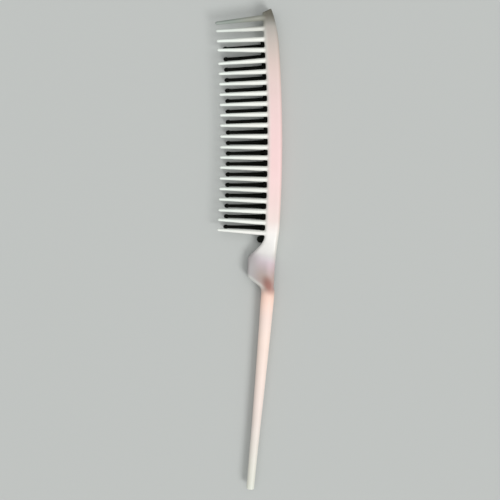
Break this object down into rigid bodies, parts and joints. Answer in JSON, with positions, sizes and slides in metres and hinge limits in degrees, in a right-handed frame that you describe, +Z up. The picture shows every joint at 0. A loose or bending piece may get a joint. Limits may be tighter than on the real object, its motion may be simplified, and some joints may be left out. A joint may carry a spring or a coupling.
{
  "type": "two row tail comb",
  "caption": "Two-row tail comb with a bowed spine, long pale front teeth, shorter black rear teeth, a scooped thumb rest and a long tapering tail.",
  "frame": {"origin": "Centre of the comb's footprint, on the flat surface it lies on, rear face down", "axes": "+Z up out of the comb's front face, +Y along its length towards the head end, +X away from the teeth"},
  "size_m": [0.032, 0.2308, 0.009],
  "materials": {
    "pale_body": "smooth moulded",
    "pale_teeth": "smooth moulded",
    "black_teeth": "smooth moulded"
  },
  "bodies": {
    "root": {"comb_body": "pale_body", "front_tooth_01": "pale_teeth", "front_tooth_02": "pale_teeth", "front_tooth_03": "pale_teeth", "front_tooth_04": "pale_teeth", "front_tooth_05": "pale_teeth", "front_tooth_06": "pale_teeth", "front_tooth_07": "pale_teeth", "front_tooth_08": "pale_teeth", "front_tooth_09": "pale_teeth", "front_tooth_10": "pale_teeth", "front_tooth_11": "pale_teeth", "front_tooth_12": "pale_teeth", "front_tooth_13": "pale_teeth", "front_tooth_14": "pale_teeth", "front_tooth_15": "pale_teeth", "front_tooth_16": "pale_teeth", "front_tooth_17": "pale_teeth", "front_tooth_18": "pale_teeth", "front_tooth_19": "pale_teeth", "front_tooth_20": "pale_teeth", "front_tooth_21": "pale_teeth", "tooth_strip": "black_teeth", "rear_tooth_01": "black_teeth", "rear_tooth_02": "black_teeth", "rear_tooth_03": "black_teeth", "rear_tooth_04": "black_teeth", "rear_tooth_05": "black_teeth", "rear_tooth_06": "black_teeth", "rear_tooth_07": "black_teeth", "rear_tooth_08": "black_teeth", "rear_tooth_09": "black_teeth", "rear_tooth_10": "black_teeth", "rear_tooth_11": "black_teeth", "rear_tooth_12": "black_teeth", "rear_tooth_13": "black_teeth", "rear_tooth_14": "black_teeth", "rear_tooth_15": "black_teeth", "rear_tooth_16": "black_teeth", "rear_tooth_17": "black_teeth", "rear_tooth_18": "black_teeth"}
  },
  "joints": []
}
